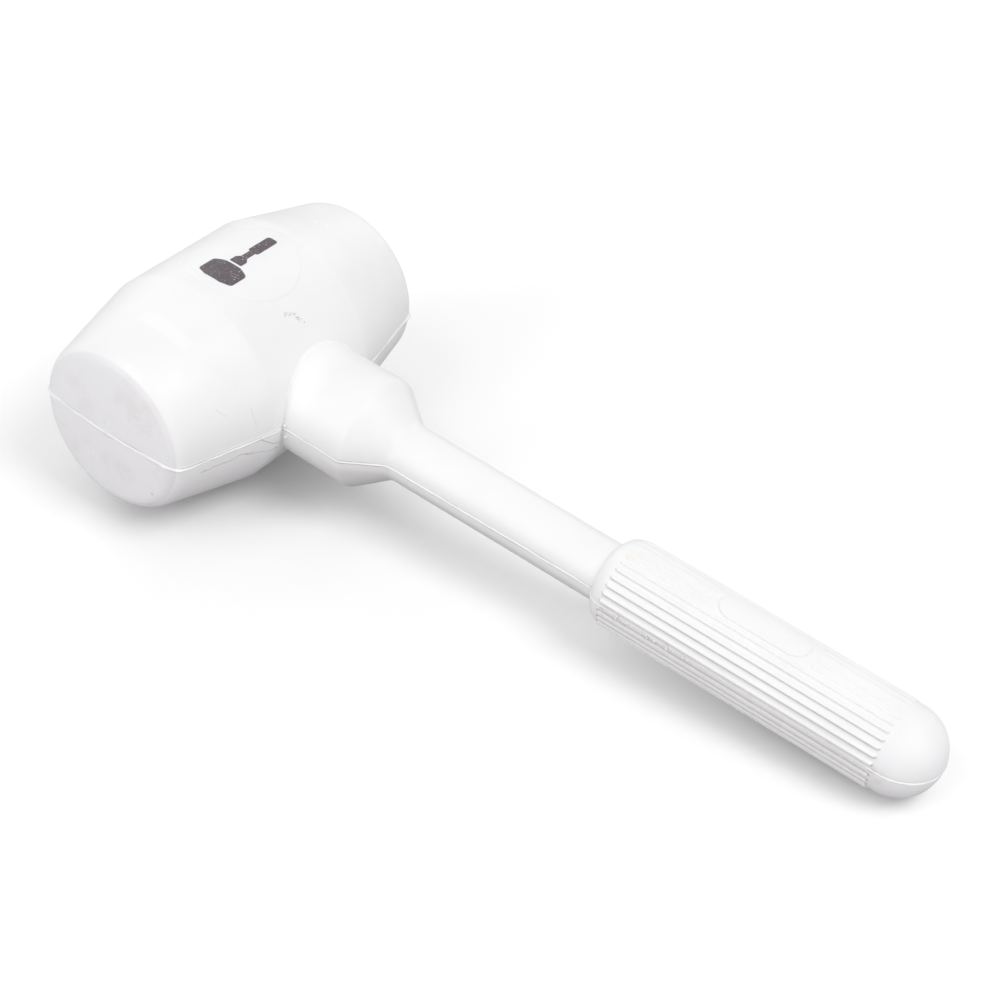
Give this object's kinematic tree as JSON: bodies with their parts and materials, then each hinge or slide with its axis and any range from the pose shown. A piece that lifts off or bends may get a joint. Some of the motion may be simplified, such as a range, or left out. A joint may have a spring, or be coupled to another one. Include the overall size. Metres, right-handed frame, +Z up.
{
  "type": "rubber mallet",
  "caption": "White rubber mallet with a barrel head, a thick neck and a ribbed grip with a domed butt, moulded round a steel core.",
  "frame": {"origin": "on the surface that the mallet lies on, under the middle of its box", "axes": "+X along the head from face to face, the handle towards -Y, +Z up; the mallet lies on its barrel and on the end of its grip"},
  "size_m": [0.1242, 0.3128, 0.076],
  "materials": {
    "white_rubber": "satin",
    "printed_ink": "matt, slightly worn",
    "zinc_steel": "zinc plated",
    "black_plastic": "matt"
  },
  "bodies": {
    "root": {"head": "white_rubber", "emblem": "printed_ink", "handle_sleeve": "white_rubber", "grip": "white_rubber", "core_tube": "zinc_steel", "head_plug": "black_plastic", "butt_plug": "black_plastic", "anchor_washer_far": "zinc_steel", "anchor_washer_near": "zinc_steel", "neck_ferrule": "zinc_steel", "anchor_pin": "zinc_steel", "grip_pin": "zinc_steel"}
  },
  "joints": []
}
